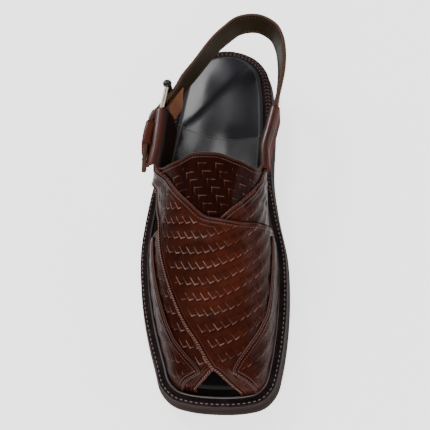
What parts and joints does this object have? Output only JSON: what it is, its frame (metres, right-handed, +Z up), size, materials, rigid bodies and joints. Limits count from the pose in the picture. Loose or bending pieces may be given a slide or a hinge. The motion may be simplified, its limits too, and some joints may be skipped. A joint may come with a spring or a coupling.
{
  "type": "woven leather sandal",
  "caption": "Right-foot peshawari chappal: crossed woven leather bands, open toe, buckled heel strap on a thick stitched sole.",
  "frame": {"origin": "on the floor under the middle of the shoe's length and width", "axes": "+Z up, toe towards -Y, heel towards +Y, medial side towards +X, buckle on the lateral side at -X"},
  "size_m": [0.1132, 0.3036, 0.0862],
  "materials": {
    "sole": "matt, moulded",
    "welt": "polished edge, stitched",
    "footbed": "glossy",
    "upper": "polished, woven",
    "strap": "satin",
    "metal": "polished",
    "roller": "dark",
    "tan": "raw"
  },
  "bodies": {
    "root": {"heel": "sole", "outsole": "sole", "welt": "welt", "insole": "footbed", "upper": "upper", "wing_lateral": "upper", "wing_medial": "upper", "sleeve_lateral": "upper", "sleeve_medial": "upper", "heel_strap": "strap", "buckle_frame": "metal", "buckle_roller": "roller", "strap_keeper": "upper", "buckle_guard": "tan"}
  },
  "joints": []
}
